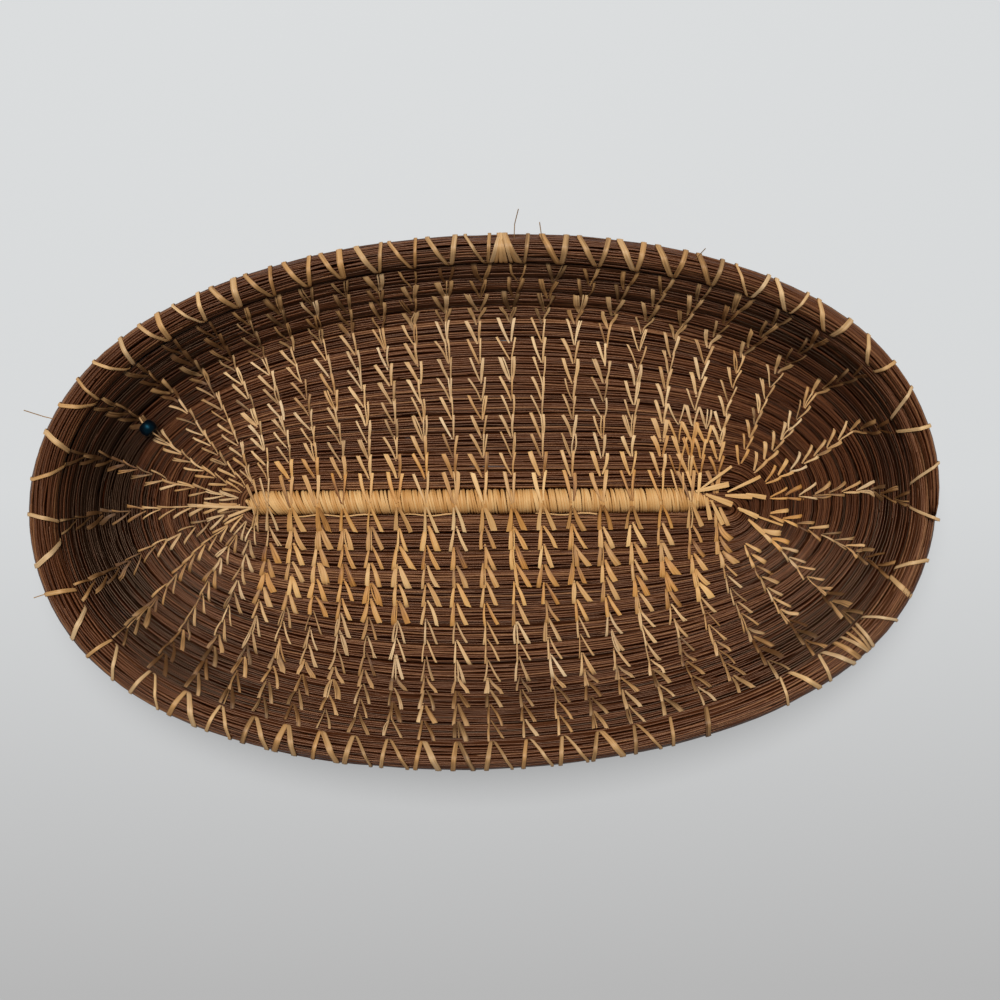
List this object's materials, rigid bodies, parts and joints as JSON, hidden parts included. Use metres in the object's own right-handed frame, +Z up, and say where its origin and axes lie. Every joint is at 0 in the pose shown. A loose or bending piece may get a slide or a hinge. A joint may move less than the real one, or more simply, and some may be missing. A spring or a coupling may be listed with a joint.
{
  "type": "coiled pine needle basket",
  "caption": "Shallow oval tray of coiled pine needles, sewn with radiating rows of raffia V stitches around a straight raffia-wrapped core, with a thicker rim coil and a small glass bead.",
  "frame": {"origin": "on the table under the middle of the tray", "axes": "+X along the wrapped core towards the end where the coil turns back and the rim ends, +Z up out of the tray"},
  "size_m": [0.3108, 0.185, 0.0349],
  "materials": {
    "needles": "dry brown pine needles, faint sheen",
    "raffia": "straw-coloured palm fibre, satin",
    "bead": "opaque dark blue, glossy"
  },
  "bodies": {
    "root": {"base_coil": "needles", "wall_coil": "needles", "rim_coil": "needles", "core_bundle": "needles", "core_wrap": "raffia", "glass_bead": "bead", "stitch_row_01": "raffia", "stitch_row_02": "raffia", "stitch_row_03": "raffia", "stitch_row_04": "raffia", "stitch_row_05": "raffia", "stitch_row_06": "raffia", "stitch_row_07": "raffia", "stitch_row_08": "raffia", "stitch_row_09": "raffia", "stitch_row_10": "raffia", "stitch_row_11": "raffia", "stitch_row_12": "raffia", "stitch_row_13": "raffia", "stitch_row_14": "raffia", "stitch_row_15": "raffia", "stitch_row_16": "raffia", "stitch_row_17": "raffia", "stitch_row_18": "raffia", "stitch_row_19": "raffia", "stitch_row_20": "raffia", "stitch_row_21": "raffia", "stitch_row_22": "raffia", "stitch_row_23": "raffia", "stitch_row_24": "raffia", "stitch_row_25": "raffia", "stitch_row_26": "raffia", "stitch_row_27": "raffia", "stitch_row_28": "raffia", "stitch_row_29": "raffia", "stitch_row_30": "raffia", "stitch_row_31": "raffia", "stitch_row_32": "raffia", "stitch_row_33": "raffia", "stitch_row_34": "raffia", "stitch_row_35": "raffia", "stitch_row_36": "raffia", "stitch_row_37": "raffia", "stitch_row_38": "raffia", "stitch_row_39": "raffia", "stitch_row_40": "raffia", "stitch_row_41": "raffia", "stitch_row_42": "raffia", "stitch_row_43": "raffia", "stitch_row_44": "raffia", "stitch_row_45": "raffia", "stitch_row_46": "raffia", "stitch_row_47": "raffia", "stitch_row_48": "raffia", "stitch_row_49": "raffia", "stitch_row_50": "raffia"}
  },
  "joints": []
}
